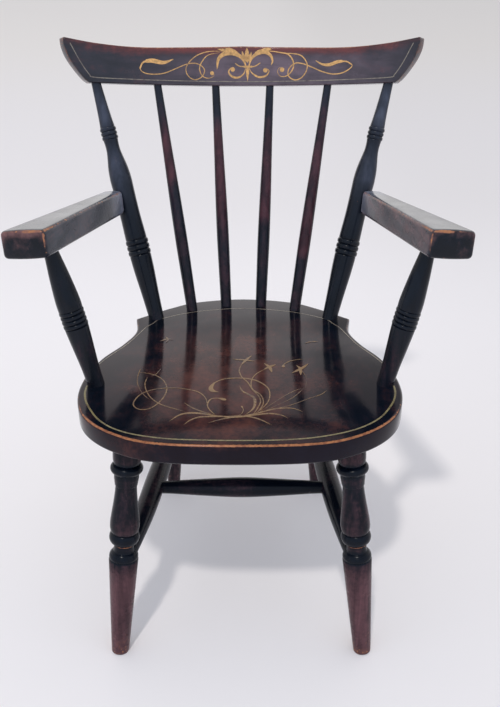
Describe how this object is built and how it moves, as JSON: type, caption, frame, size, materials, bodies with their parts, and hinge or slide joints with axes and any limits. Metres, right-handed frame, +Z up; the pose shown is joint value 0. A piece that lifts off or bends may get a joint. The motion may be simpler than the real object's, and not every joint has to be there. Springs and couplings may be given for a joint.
{
  "type": "painted spindle-back armchair",
  "caption": "Child's painted wooden armchair with a shaped plank seat, bent crest rail, turned spindles and posts, flat flaring arms and splayed turned legs.",
  "frame": {"origin": "on the floor, under the middle of the chair's overall width and depth", "axes": "+Z up, the sitter faces -Y, +X to the sitter's left hand"},
  "size_m": [0.4612, 0.433, 0.6151],
  "materials": {
    "painted_wood": "dark glossy paint over red-brown, worn at the edges"
  },
  "bodies": {
    "root": {"seat": "painted_wood", "crest_rail": "painted_wood", "back_post_left": "painted_wood", "spindle_outer_left": "painted_wood", "spindle_inner_left": "painted_wood", "arm_left": "painted_wood", "arm_post_left": "painted_wood", "front_leg_left": "painted_wood", "rear_leg_left": "painted_wood", "side_stretcher_left": "painted_wood", "back_post_right": "painted_wood", "spindle_outer_right": "painted_wood", "spindle_inner_right": "painted_wood", "arm_right": "painted_wood", "arm_post_right": "painted_wood", "front_leg_right": "painted_wood", "rear_leg_right": "painted_wood", "side_stretcher_right": "painted_wood", "cross_stretcher": "painted_wood"}
  },
  "joints": []
}
